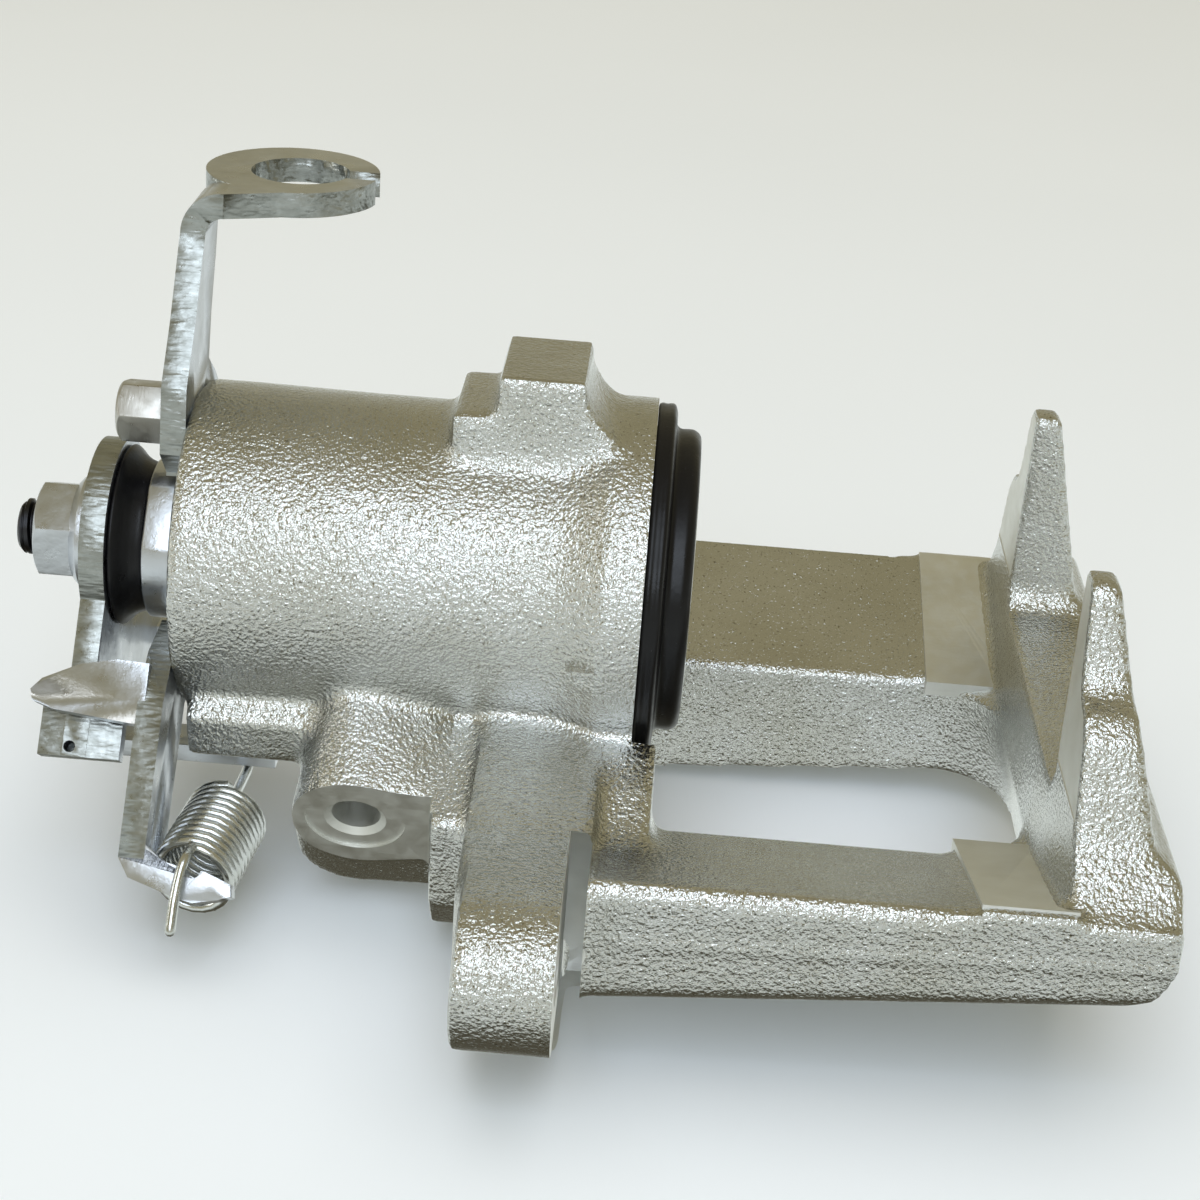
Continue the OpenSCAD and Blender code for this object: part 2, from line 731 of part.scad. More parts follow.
module bleed_cap() {
    color([0.07, 0.07, 0.08]) at_pad_face() translate(bleed_at) rotate([-90, 0, 0]) difference() {
        union() {
            translate([0, 0, 35]) cylinder(h = 7.2, r = 4.3);
            translate([0, 0, 42.1]) cylinder(h = 2.4, r1 = 4.3, r2 = 2.6);
        }
        translate([0, 0, 34]) cylinder(h = 8.4, r = 3.15);
    }
}

caliper_housing();
piston();
piston_seal();
dust_boot();
boot_retaining_ring();
adjuster_nut();
adjuster_bearing();
clutch_spring();
adjuster_retaining_ring();
push_spindle();
cage_spring();
spring_cage();
cage_circlip();
anti_rotation_pins();
thrust_bearing();
ramp_balls();
lever_shaft();
shaft_bush();
shaft_seal();
gland_collar();
shaft_boot();
park_lever();
lever_nut();
cable_bracket();
bracket_bolts();
return_spring();
bleed_screw();
bleed_cap();
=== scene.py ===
"""Looks of a rear brake caliper with a built-in parking brake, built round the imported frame.

Lengths written in millimetres are measured from the cylinder's mouth, as the part's drawing does.
at() turns them into the frame's metres.
"""

import json
import math

import bmesh
import bpy
import numpy as np
from mathutils import Matrix, Vector


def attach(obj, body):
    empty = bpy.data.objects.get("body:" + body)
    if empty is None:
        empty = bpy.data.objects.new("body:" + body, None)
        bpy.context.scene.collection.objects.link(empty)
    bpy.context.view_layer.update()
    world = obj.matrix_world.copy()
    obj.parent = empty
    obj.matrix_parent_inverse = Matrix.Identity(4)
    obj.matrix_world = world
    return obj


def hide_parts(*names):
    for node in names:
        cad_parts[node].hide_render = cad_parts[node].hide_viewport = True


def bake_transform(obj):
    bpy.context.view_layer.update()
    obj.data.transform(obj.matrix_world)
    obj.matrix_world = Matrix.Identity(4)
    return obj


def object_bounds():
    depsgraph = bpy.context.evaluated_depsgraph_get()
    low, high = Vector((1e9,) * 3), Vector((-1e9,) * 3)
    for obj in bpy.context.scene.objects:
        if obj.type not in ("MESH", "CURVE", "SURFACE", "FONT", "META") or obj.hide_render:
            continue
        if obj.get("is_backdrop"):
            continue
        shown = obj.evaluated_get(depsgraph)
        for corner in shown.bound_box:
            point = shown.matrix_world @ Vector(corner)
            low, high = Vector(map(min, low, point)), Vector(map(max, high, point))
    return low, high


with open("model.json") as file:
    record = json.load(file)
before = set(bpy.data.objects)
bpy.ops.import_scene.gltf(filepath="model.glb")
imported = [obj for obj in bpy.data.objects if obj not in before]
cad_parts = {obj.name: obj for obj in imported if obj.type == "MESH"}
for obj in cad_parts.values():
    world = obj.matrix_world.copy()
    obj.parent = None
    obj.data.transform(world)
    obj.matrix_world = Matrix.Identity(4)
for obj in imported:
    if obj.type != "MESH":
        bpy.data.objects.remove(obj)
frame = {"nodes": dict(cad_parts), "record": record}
CAD_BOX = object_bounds()
NODES = frame["nodes"]
MOUNTS = {m["name"]: m for m in frame["record"]["mounts"]}

MM = 0.001
REACH = 6.5  # the piston stands this far out of the cylinder's mouth
CYLINDER_LEN = 64
PLATE = 3.5
BRACKET_X = -CYLINDER_LEN - PLATE - 0.1
LUG_TOP = 49.5
LEVER_X = -78.1
EAR = (-60.5, -27.5)  # Y and Z of the near guide pin
PAD_GAP = 56.4
VOXEL = 0.75  # grain of the casting's mesh
SPLIT_Z = -24.8  # height of the mould's parting line on the beams


def at(x, y, z):
    return Vector((x - REACH, y, z)) * MM


# ---- node trees ----


class Shader:
    """A short way to write a material's nodes."""

    def __init__(self, name, **values):
        self.material = bpy.data.materials.new(name)
        self.material.use_nodes = True
        self.tree = self.material.node_tree
        self.bsdf = self.tree.nodes["Principled BSDF"]
        self.place = self.tree.nodes.new("ShaderNodeTexCoord").outputs["Object"]
        for key, value in values.items():
            self.bsdf.inputs[key.replace("_", " ").title().replace("Ior", "IOR")].default_value = value

    def link(self, source, socket):
        self.tree.links.new(source, socket)

    def stretched(self, scale, turn=(0, 0, 0)):
        node = self.tree.nodes.new("ShaderNodeMapping")
        node.inputs["Scale"].default_value = scale
        node.inputs["Rotation"].default_value = turn
        self.link(self.place, node.inputs["Vector"])
        return node.outputs["Vector"]

    def noise(self, scale, detail=2, rough=0.5, place=None):
        node = self.tree.nodes.new("ShaderNodeTexNoise")
        node.inputs["Scale"].default_value = scale
        node.inputs["Detail"].default_value = detail
        node.inputs["Roughness"].default_value = rough
        self.link(place or self.place, node.inputs["Vector"])
        return node.outputs["Fac"]

    def cells(self, scale, feature="SMOOTH_F1", place=None):
        node = self.tree.nodes.new("ShaderNodeTexVoronoi")
        node.feature = feature
        node.inputs["Scale"].default_value = scale
        self.link(place or self.place, node.inputs["Vector"])
        return node.outputs["Distance"]

    def ramp(self, source, stops):
        """stops: (place, value or colour) pairs."""
        node = self.tree.nodes.new("ShaderNodeValToRGB")
        ramp = node.color_ramp
        while len(ramp.elements) < len(stops):
            ramp.elements.new(0.5)
        for element, (where, value) in zip(ramp.elements, stops):
            element.position = where
            element.color = (*value, 1) if isinstance(value, tuple) else (value, value, value, 1)
        self.link(source, node.inputs["Fac"])
        return node.outputs["Color"]

    def mix(self, share, a, b):
        """Blend of two colours; share, a and b are sockets or plain values."""
        node = self.tree.nodes.new("ShaderNodeMix")
        node.data_type = "RGBA"
        for value, socket in ((share, node.inputs[0]), (a, node.inputs[6]), (b, node.inputs[7])):
            if isinstance(value, bpy.types.NodeSocket):
                self.link(value, socket)
            elif isinstance(value, tuple):
                socket.default_value = (*value, 1)
            else:
                socket.default_value = value
        return node.outputs[2]

    def maths(self, operation, a, b=0.0, c=0.0):
        node = self.tree.nodes.new("ShaderNodeMath")
        node.operation = operation
        for value, socket in zip((a, b, c), node.inputs):
            if isinstance(value, bpy.types.NodeSocket):
                self.link(value, socket)
            else:
                socket.default_value = value
        return node.outputs[0]

    def colour(self, source):
        self.link(source, self.bsdf.inputs["Base Color"])

    def roughness(self, source):
        self.link(source, self.bsdf.inputs["Roughness"])

    def bump(self, height, distance, strength=1.0, over=None):
        node = self.tree.nodes.new("ShaderNodeBump")
        node.inputs["Strength"].default_value = strength
        node.inputs["Distance"].default_value = distance
        self.link(height, node.inputs["Height"])
        if over is not None:
            self.link(over, node.inputs["Normal"])
        self.link(node.outputs["Normal"], self.bsdf.inputs["Normal"])
        return node.outputs["Normal"]


def cast_zinc():
    """Plated casting: a skin of pebbles about a millimetre across, with olive stains."""
    s = Shader("cast_zinc", metallic=1.0, base_color=(0.62, 0.63, 0.6, 1), roughness=0.3)
    stain = s.ramp(s.noise(38, 4, 0.6), [(0.38, 0.0), (0.7, 1.0)])
    grey = s.mix(stain, (0.62, 0.63, 0.62), (0.53, 0.53, 0.49))
    speck = s.ramp(s.noise(2600, 1), [(0.66, 0.0), (0.74, 1.0)])
    s.colour(s.mix(speck, grey, (0.3, 0.28, 0.22)))
    s.roughness(s.ramp(s.noise(160, 3), [(0.3, 0.13), (0.75, 0.22)]))
    swell = s.bump(s.noise(240, 2), 0.00022, 0.4)
    pebbles = s.maths("ADD", s.noise(2400, 2, 0.5), s.maths("MULTIPLY", s.cells(1600), -0.7))
    s.bump(pebbles, 0.00024, 1.0, swell)
    return s.material


def machined_zinc():
    """Cut faces: smooth, with fine tool marks."""
    s = Shader("machined_zinc", metallic=1.0, base_color=(0.72, 0.73, 0.71, 1), roughness=0.3)
    s.colour(s.ramp(s.noise(90, 3), [(0.3, (0.84, 0.85, 0.83)), (0.75, (0.72, 0.72, 0.68))]))
    s.roughness(s.ramp(s.noise(420, 3, 0.6), [(0.3, 0.48), (0.7, 0.62)]))
    s.bump(s.noise(900, 2, 0.6, s.stretched((0.15, 1, 2.4))), 0.00005, 0.6)
    return s.material


def plate_zinc():
    """Rolled and plated sheet."""
    s = Shader("plate_zinc", metallic=1.0, base_color=(0.68, 0.69, 0.67, 1), roughness=0.3)
    s.colour(s.ramp(s.noise(70, 4, 0.6), [(0.35, (0.62, 0.65, 0.7)), (0.72, (0.5, 0.51, 0.52))]))
    s.roughness(s.ramp(s.noise(300, 4, 0.65), [(0.3, 0.24), (0.72, 0.42)]))
    orange = s.bump(s.noise(520, 3, 0.6), 0.00009, 0.7)
    s.bump(s.noise(2600, 2, 0.7), 0.00003, 0.5, orange)
    return s.material


def sheared_zinc(name, turn):
    """The edge that a press tool leaves: a bright shear band and a torn, ribbed one beside it."""
    s = Shader(name, metallic=1.0, base_color=(0.74, 0.75, 0.75, 1), roughness=0.26)
    along = s.stretched((0.3, 1.0, 1.0), turn)
    ribs = s.noise(1200, 1, 0.5, along)
    s.colour(s.ramp(s.noise(700, 4, 0.7, along), [(0.3, (0.42, 0.44, 0.43)), (0.72, (0.26, 0.27, 0.25))]))
    s.roughness(s.ramp(s.noise(800, 4, 0.7), [(0.3, 0.24), (0.72, 0.5)]))
    torn = s.bump(ribs, 0.00022, 1.0)
    s.bump(s.noise(1700, 3, 0.7), 0.00006, 0.5, torn)
    return s.material


def rubber():
    s = Shader("black_rubber", base_color=(0.004, 0.004, 0.005, 1), roughness=0.3)
    s.bsdf.inputs["Specular IOR Level"].default_value = 0.28
    dust = s.ramp(s.noise(3800, 2, 0.7), [(0.74, 0.0), (0.8, 1.0)])
    s.colour(s.mix(dust, (0.004, 0.004, 0.005), (0.1, 0.1, 0.11)))
    s.roughness(s.ramp(s.noise(240, 4, 0.65), [(0.3, 0.24), (0.75, 0.46)]))
    s.bump(s.noise(1500, 3, 0.6), 0.00004, 0.6)
    return s.material


def spring_wire():
    s = Shader("spring_wire", metallic=1.0, base_color=(0.78, 0.79, 0.78, 1), roughness=0.2)
    s.colour(s.ramp(s.noise(220, 3), [(0.35, (0.66, 0.68, 0.68)), (0.75, (0.5, 0.51, 0.48))]))
    s.roughness(s.ramp(s.noise(900, 3, 0.6), [(0.3, 0.15), (0.75, 0.34)]))
    s.bump(s.noise(2600, 2, 0.6), 0.00003, 0.5)
    return s.material


def steel(name, light, dark, shine, pitch=1200):
    """Turned or ground steel; pitch sets how fine its tool marks are."""
    s = Shader(name, metallic=1.0, base_color=(*light, 1), roughness=shine)
    s.colour(s.ramp(s.noise(150, 4, 0.6), [(0.35, light), (0.75, dark)]))
    s.roughness(s.ramp(s.noise(500, 3, 0.6), [(0.3, shine * 0.75), (0.75, shine * 1.45)]))
    s.bump(s.noise(pitch, 2, 0.6, s.stretched((3.0, 0.4, 0.4))), 0.00003, 0.6)
    return s.material


def bronze():
    s = Shader("sintered_bronze", metallic=1.0, base_color=(0.6, 0.42, 0.2, 1), roughness=0.4)
    s.colour(s.ramp(s.cells(2400, "F1"), [(0.1, (0.4, 0.27, 0.13)), (0.5, (0.66, 0.47, 0.24))]))
    s.roughness(s.ramp(s.noise(700, 3), [(0.3, 0.34), (0.7, 0.52)]))
    s.bump(s.cells(2400, "F1"), 0.00004, 0.5)
    return s.material


def floor_paint():
    s = Shader("floor", base_color=(0.88, 0.9, 0.9, 1), roughness=0.85)
    s.colour(s.ramp(s.noise(4, 3), [(0.3, (0.86, 0.9, 0.95)), (0.7, (0.84, 0.88, 0.93))]))
    return s.material


CAST = cast_zinc()
MACHINED = machined_zinc()
SHEET = plate_zinc()
SHEARED_X = sheared_zinc("sheared_edge", (0, 0, 0))
SHEARED_Z = sheared_zinc("sheared_lug_edge", (0, math.radians(90), 0))
RUBBER = rubber()
WIRE = spring_wire()
CHROME = steel("piston_chrome", (0.78, 0.79, 0.8), (0.72, 0.73, 0.74), 0.14, 2600)
BRIGHT = steel("bright_steel", (0.7, 0.71, 0.72), (0.6, 0.6, 0.6), 0.2, 1800)
PLAIN = steel("plain_steel", (0.52, 0.51, 0.48), (0.42, 0.4, 0.36), 0.34)
DARK = steel("dark_steel", (0.16, 0.16, 0.17), (0.1, 0.1, 0.1), 0.36)
BLACK = steel("black_steel", (0.05, 0.05, 0.055), (0.025, 0.025, 0.028), 0.38)
YELLOW = steel("yellow_steel", (0.66, 0.6, 0.4), (0.54, 0.48, 0.3), 0.28)
BRONZE = bronze()


# ---- mesh helpers ----


def add_object(name, mesh, *materials):
    piece = bpy.data.objects.new(name, mesh)
    bpy.context.scene.collection.objects.link(piece)
    for material in materials:
        mesh.materials.append(material)
    return piece


def from_points(name, points, faces, *materials):
    mesh = bpy.data.meshes.new(name)
    mesh.from_pydata(points, [], faces)
    mesh.update()
    piece = add_object(name, mesh, *materials)
    mend_normals(piece)
    return piece


def mend_normals(piece):
    bm = bmesh.new()
    bm.from_mesh(piece.data)
    bmesh.ops.recalc_face_normals(bm, faces=bm.faces)
    bm.to_mesh(piece.data)
    bm.free()


def copy_of(name, node):
    """A welded copy of a CAD node's mesh, with no material."""
    mesh = NODES[node].data.copy()
    mesh.name = name
    mesh.materials.clear()
    piece = add_object(name, mesh)
    bm = bmesh.new()
    bm.from_mesh(mesh)
    bmesh.ops.remove_doubles(bm, verts=bm.verts, dist=1e-6)
    bm.to_mesh(mesh)
    bm.free()
    return piece


def apply_modifiers(piece):
    graph = bpy.context.evaluated_depsgraph_get()
    graph.update()
    mesh = bpy.data.meshes.new_from_object(piece.evaluated_get(graph), depsgraph=graph)
    piece.modifiers.clear()
    piece.data = mesh


def shade(piece, angle):
    """Smooth shading, with edges over this angle kept sharp."""
    piece.data.shade_smooth()
    piece.data.set_sharp_from_angle(angle=math.radians(angle))


def sweep(name, rings, closed, *materials):
    """Skin over equal rings of points. closed joins the last ring to the first, else both ends are capped."""
    count = len(rings[0])
    points = [p for ring in rings for p in ring]
    faces = []
    for r in range(len(rings) if closed else len(rings) - 1):
        a, b = r * count, (r + 1) % len(rings) * count
        faces += [(a + k, a + (k + 1) % count, b + (k + 1) % count, b + k) for k in range(count)]
    if not closed:
        faces += [tuple(range(count)), tuple(range(len(points) - count, len(points)))]
    return from_points(name, points, faces, *materials)


def lathe(name, profile, steps, *materials):
    """Spins a closed outline of (x, radius) points, in mm from the mouth, about the cylinder's axis."""
    rings = []
    for k in range(steps):
        a = 2 * math.pi * k / steps
        rings.append([at(x, r * math.cos(a), r * math.sin(a)) for x, r in profile])
    return sweep(name, rings, True, *materials)


def rounded_outline(corners, radius, steps=4):
    """Rounds an outline's corners with short curves, cutting each corner radius deep."""
    out = []
    for k, corner in enumerate(corners):
        here = Vector(corner)
        back, ahead = Vector(corners[k - 1]) - here, Vector(corners[(k + 1) % len(corners)]) - here
        a = here + back.normalized() * min(radius, back.length * 0.45)
        b = here + ahead.normalized() * min(radius, ahead.length * 0.45)
        for s in range(steps + 1):
            t = s / steps
            out.append(tuple(a * (1 - t) ** 2 + here * 2 * t * (1 - t) + b * t * t))
    return out


def smooth_path(points, steps):
    """Catmull-Rom curve through the points."""
    ends = [points[0] * 2 - points[1], *points, points[-1] * 2 - points[-2]]
    out = []
    for k in range(1, len(ends) - 2):
        p, q, r, s = ends[k - 1:k + 3]
        for step in range(steps):
            t = step / steps
            out.append(0.5 * (2 * q + (r - p) * t + (2 * p - 5 * q + 4 * r - s) * t * t
                              + (3 * q - p - 3 * r + s) * t ** 3))
    return out + [points[-1]]


def wire(name, path, radius, sides, material):
    """Round wire along a path, with domed ends."""
    tangents = [(path[min(k + 1, len(path) - 1)] - path[max(k - 1, 0)]).normalized() for k in range(len(path))]
    side = tangents[0].orthogonal().normalized()
    rings = []
    for k, (p, t) in enumerate(zip(path, tangents)):
        side = (side - t * side.dot(t)).normalized()
        up = t.cross(side)
        ring = [side * math.cos(a) + up * math.sin(a) for a in (2 * math.pi * s / sides for s in range(sides))]
        domes = [(0, 1.0)]
        if k == 0:
            domes = [(-0.95, 0.3), (-0.7, 0.72), (0, 1.0)]
        elif k == len(path) - 1:
            domes = [(0, 1.0), (0.7, 0.72), (0.95, 0.3)]
        for shift, share in domes:
            rings.append([p + t * radius * shift + d * radius * share for d in ring])
    piece = sweep(name, rings, False, material)
    shade(piece, 60)
    return piece


def bevelled(name, node, width, angle, *materials, segments=3):
    """A CAD node's shape with its edges broken."""
    piece = copy_of(name, node)
    bm = bmesh.new()
    bm.from_mesh(piece.data)
    bmesh.ops.dissolve_limit(bm, angle_limit=math.radians(0.6), verts=bm.verts, edges=bm.edges)
    bm.to_mesh(piece.data)
    bm.free()
    bevel = piece.modifiers.new("bevel", "BEVEL")
    bevel.width = width * MM
    bevel.segments = segments
    bevel.limit_method = "ANGLE"
    bevel.angle_limit = math.radians(angle)
    bevel.use_clamp_overlap = True
    bevel.harden_normals = False
    apply_modifiers(piece)
    for material in materials:
        piece.data.materials.append(material)
    shade(piece, 35)
    return piece


def paint(piece, choose):
    """Gives each face the material slot that choose(centre in mm from the mouth, normal) names."""
    for face in piece.data.polygons:
        c = face.center / MM
        face.material_index = choose(Vector((c.x + REACH, c.y, c.z)), face.normal)


def place(piece, body, slot, *nodes):
    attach(piece, body)
    if nodes:
        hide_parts(*nodes)
    return piece


# ---- solids that add casting allowance or cut machined faces ----


def circle(r, y=0.0, z=0.0, steps=96):
    return [(y + r * math.cos(2 * math.pi * k / steps), z + r * math.sin(2 * math.pi * k / steps))
            for k in range(steps)]


def slab(name, outline, x0, x1, *materials):
    """A (Y, Z) outline in mm turned into a solid from x0 to x1."""
    return sweep(name, [[at(x, y, z) for y, z in outline] for x in (x0, x1)], False, *materials)


def spun(name, profile, origin, axis, *materials, steps=72):
    """A solid of revolution from (distance along axis, radius) steps, in mm from the mouth."""
    axis = Vector(axis).normalized()
    side = axis.orthogonal().normalized()
    up = axis.cross(side)
    rings = []
    for along, r in profile:
        middle = Vector(origin) + axis * along
        turns = [2 * math.pi * k / steps for k in range(steps)]
        rings.append([at(*(middle + (side * math.cos(a) + up * math.sin(a)) * r)) for a in turns])
    return sweep(name, rings, False, *materials)


PORT_AT = Vector((-37, -27.3, -28))
PORT_TILT = math.radians(27)
PORT_OUT = Vector((0, -math.cos(PORT_TILT), -math.sin(PORT_TILT)))
PORT_UP = Vector((0, -math.sin(PORT_TILT), math.cos(PORT_TILT)))
BLEED_AT = Vector((-16, 0, 12))
BOLT_PLACES = ((-1.5, 19.6), (14, -12.5))
ALONG_X, ALONG_Y = Vector((1, 0, 0)), Vector((0, 1, 0))


def both_sides(outline):
    return outline, [(-y, z) for y, z in reversed(outline)]


def port_plate(name, corners, low, high, *materials):
    """A flat block on the hose port: corners are (x, up the face) from the port's middle."""
    rings = [[at(*(PORT_AT + Vector((x, 0, 0)) + PORT_UP * u + PORT_OUT * d)) for x, u in corners]
             for d in (low, high)]
    return sweep(name, rings, False, *materials)


def casting_stock():
    """Material that the foundry leaves where a tool will cut, so that cut edges come out crisp."""
    ear_y, ear_z = EAR
    stock = [
        spun("stock", [(-60, 14.6), (-43, 14.6), (-43, 22), (-2, 22), (-2, 25.5), (1.4, 25.5)],
             (0, 0, 0), ALONG_X),
        spun("stock", [(-64, 8.4), (-55, 8.4)], (0, 0, 0), ALONG_X),
        spun("stock", [(-20, 1.8), (-11, 4.4), (-11, 4.4), (1.4, 8.8)], PORT_AT, PORT_OUT),
        port_plate("stock", [(0, -8), (10.2, -8), (10.2, 7.2), (0, 7.2)], -2, 1.4),
        spun("stock", [(9, 4.4), (28.5, 4.4)], BLEED_AT, ALONG_Y),
    ]
    stock += [spun("stock", [(-64, 2.8), (-54, 2.8)], (0, y, z), ALONG_X) for y, z in BOLT_PLACES]
    ear = [*circle(10.5, ear_y, ear_z, 48)]
    web = [(-40, -18), (-58.5, -17), (-60.5, -27.5), (-59.8, -37.9), (-46, -37.9), (-42, -33)]
    beam = [(-26, -25.8), (-54.6, -17.1), (-56, -18.4), (-56, -32.2), (-26, -32.2)]
    for side in range(2):
        stock.append(slab("stock", both_sides(ear)[side], -19.5, -5.2))
        stock.append(slab("stock", both_sides(web)[side], -12, -5.2))
        stock.append(slab("stock", both_sides(beam)[side], -5.6, -3))
    return stock


def cutters():
    """Tools' paths: everything on the housing that is bored, faced or milled."""
    ear_y, ear_z = EAR
    tools = [
        spun("cut", [(-80, 8), (-57.5, 8), (-57.5, 14.5), (-41.5, 14.5), (-41.5, 15.7), (-40.3, 15.7),
                     (-40.3, 14.5), (-39, 14.5), (-39, 19.05), (-12.5, 19.05), (-12.5, 21.5),
                     (-9.3, 21.5), (-9.3, 19.05), (-0.8, 19.05), (-0.8, 21.3), (8, 21.3)],
             (0, 0, 0), ALONG_X, MACHINED, steps=160),
        spun("cut", [(-19, 1.6), (-11, 1.6), (-11, 3.4), (-1.2, 3.4), (-0.4, 4.3), (-0.4, 6.9), (3, 6.9)],
             PORT_AT, PORT_OUT, MACHINED),
        port_plate("cut", [(-12, -10.2), (10.8, -10.2), (10.8, 9.6), (-12, 9.6)], 0, 6, MACHINED),
        spun("cut", [(10, 1.6), (20, 1.6), (20, 4.05), (28.4, 4.05), (28.4, 8.5), (31, 8.5)],
             BLEED_AT, ALONG_Y, MACHINED),
    ]
    tools += [spun("cut", [(-70, 2.5), (-55, 2.5)], (0, y, z), ALONG_X, MACHINED) for y, z in BOLT_PLACES]
    tools += [spun("cut", [(-60.5, 1.4), (-56.5, 1.4)], (0, 0, z), ALONG_X, MACHINED) for z in (-12.9, 12.9)]
    # The mouth's rim, apart from where the gussets stand proud of it
    rim = [(y, z) for y, z in circle(27.5, steps=120) if z > -14.2 or abs(y) < 8]
    tools.append(slab("cut", rim, 0, 5, MACHINED))
    disc = [(y, max(z, -38.5)) for y, z in circle(20.5, ear_y, ear_z, 96)]
    clipped = [p for k, p in enumerate(disc) if p[1] > -38.5 or disc[k - 1][1] > -38.5
               or disc[(k + 1) % len(disc)][1] > -38.5]
    face = [(-49, -8), (-24, -8), (-24, 22), (-49, 22)]
    for side in range(2):
        tools.append(slab("cut", both_sides(clipped)[side], -6.8, -3.9, MACHINED))
        tools.append(slab("cut", both_sides(face)[side], 50, PAD_GAP + 0.12, MACHINED))
        y = ear_y if side == 0 else -ear_y
        tools.append(spun("cut", [(-30, 4.25), (0, 4.25)], (0, y, ear_z), ALONG_X, MACHINED))
    return tools


def join_into(piece, others):
    bm = bmesh.new()
    bm.from_mesh(piece.data)
    for other in others:
        bm.from_mesh(other.data)
        bpy.data.objects.remove(other)
    bm.to_mesh(piece.data)
    bm.free()


def arrays(mesh):
    points = np.empty(len(mesh.vertices) * 3)
    mesh.vertices.foreach_get("co", points)
    edges = np.empty(len(mesh.edges) * 2, int)
    mesh.edges.foreach_get("vertices", edges)
    return points.reshape(-1, 3), edges.reshape(-1, 2)


def normals_of(mesh):
    normals = np.empty(len(mesh.vertices) * 3)
    mesh.vertices.foreach_get("normal", normals)
    return normals.reshape(-1, 3)


def put_points(mesh, points):
    mesh.vertices.foreach_set("co", points.ravel())
    mesh.update()


def melt(mesh, rounds, fill_rounds):
    """Softens every corner, then fills the hollow ones further, as the fillets of a casting do."""
    points, edges = arrays(mesh)
    a, b = edges.T
    count = np.bincount(edges.ravel(), minlength=len(points))[:, None]
    for k in range(rounds + fill_rounds):
        total = np.zeros_like(points)
        for axis in range(3):
            total[:, axis] = (np.bincount(a, points[b, axis], len(points))
                              + np.bincount(b, points[a, axis], len(points)))
        step = total / count - points
        if k >= rounds:
            if (k - rounds) % 5 == 0:
                put_points(mesh, points)
                normals = normals_of(mesh)
            along = np.sum(step * normals, axis=1, keepdims=True)
            step = np.where(along > 0, step, step - normals * along)
        points = points + step * 0.5
    put_points(mesh, points)


def mould_marks(mesh):
    """The mould's parting line on the beams, and the step where its insert met the cylinder."""
    points, _ = arrays(mesh)
    normals = normals_of(mesh)
    x, y, z = points.T / MM
    x = x + REACH
    flash = np.clip(1 - np.abs(z - SPLIT_Z - 0.04 * (x - 20)) / 0.8, 0, 1) * (np.abs(normals[:, 2]) < 0.6)
    flash *= (np.abs(y) > 50) & (x > 0)
    radius = np.hypot(y, z)
    step = np.clip(1 - np.abs(x + 8.0) / 0.7, 0, 1) * (radius < 26.5) * (z > -12)
    points = points + normals * (0.22 * flash + 0.1 * step)[:, None] * MM
    put_points(mesh, np.clip(points, CAD_BOX[0], CAD_BOX[1]))


def crisp_additions():
    """The worn pads on the beams and a small raised mark on the cylinder, joined after the melting."""
    pad = [(-23.9, -24.75), (-54.6, -16.05), (-55, -18), (-24, -27)]
    shapes = [slab("pad", outline, 45.2, PAD_GAP + 1, MACHINED) for outline in both_sides(pad)]
    turn = math.radians(188)
    out = Vector((0, math.cos(turn), math.sin(turn)))
    down = Vector((0, -math.sin(turn), math.cos(turn)))
    rings = []
    for r, grow in ((22, 1.0), (25.9, 0.8)):
        middle = Vector((-7.6, 0, 0)) + out * r
        corners = ((-2.4, -0.6), (2.4, -0.6), (0.3, 2.2))
        rings.append([at(*(middle + ALONG_X * u * grow + down * v * grow)) for u, v in corners])
    shapes.append(sweep("mark", rings, False, CAST))
    return shapes


def casting():
    """The housing: its CAD shape as the foundry makes it, with the machined faces cut afterwards."""
    piece = copy_of("housing_casting", "caliper_housing")
    join_into(piece, casting_stock())
    remesh = piece.modifiers.new("remesh", "REMESH")
    remesh.mode = "VOXEL"
    remesh.voxel_size = VOXEL * MM
    apply_modifiers(piece)
    melt(piece.data, 3, 16)
    mould_marks(piece.data)
    piece.data.materials.clear()
    piece.data.materials.append(CAST)
    tools = [("UNION", shape) for shape in crisp_additions()] + [("DIFFERENCE", tool) for tool in cutters()]
    for operation, tool in tools:
        cut = piece.modifiers.new("cut", "BOOLEAN")
        cut.operation = operation
        cut.solver = "MANIFOLD"
        cut.material_mode = "TRANSFER"
        cut.object = tool
    apply_modifiers(piece)
    for _, tool in tools:
        bpy.data.objects.remove(tool)
    shade(piece, 32)
    return piece


# ---- rubber ----


def dust_boot():
    """Folded boot between the mouth's rim and the piston, with soft edges and a raised lip."""
    outline = [(-0.75, 21.25), (0.02, 21.25), (0.02, 24.7), (0.5, 25), (1.2, 24.82), (2.0, 25), (2.5, 24.7),
               (2.8, 23.6), (2.8, 21.9), (3.4, 21.42), (4.6, 21.5), (5.3, 21.45), (5.9, 21.1), (6.3, 20.6),
               (6.4, 20.0), (6.4, 19.4), (6.1, 19.1), (4.15, 19.1), (4.1, 17.7), (2.3, 17.7), (2.3, 19.1),
               (2.7, 19.6), (5.0, 19.6), (5.3, 19.85), (5.0, 20.1), (1.9, 20.1), (0.8, 20.2), (-0.75, 20.2)]
    piece = lathe("boot_rubber", rounded_outline(outline, 0.45), 144, RUBBER)
    shade(piece, 40)
    return piece


def shaft_boot():
    """Rubber trumpet that seals the lever's shaft."""
    outline = [(-74.4, 6.1), (-74.4, 12.8), (-74.0, 13.0), (-73.4, 12.5), (-72.7, 11.7), (-71.9, 11.1),
               (-71.0, 10.75), (-70.4, 10.6), (-70.05, 10.4), (-70.05, 7.4), (-72, 6.1)]
    piece = lathe("trumpet_boot", rounded_outline(outline, 0.35), 112, RUBBER)
    shade(piece, 45)
    return piece


# ---- return spring ----

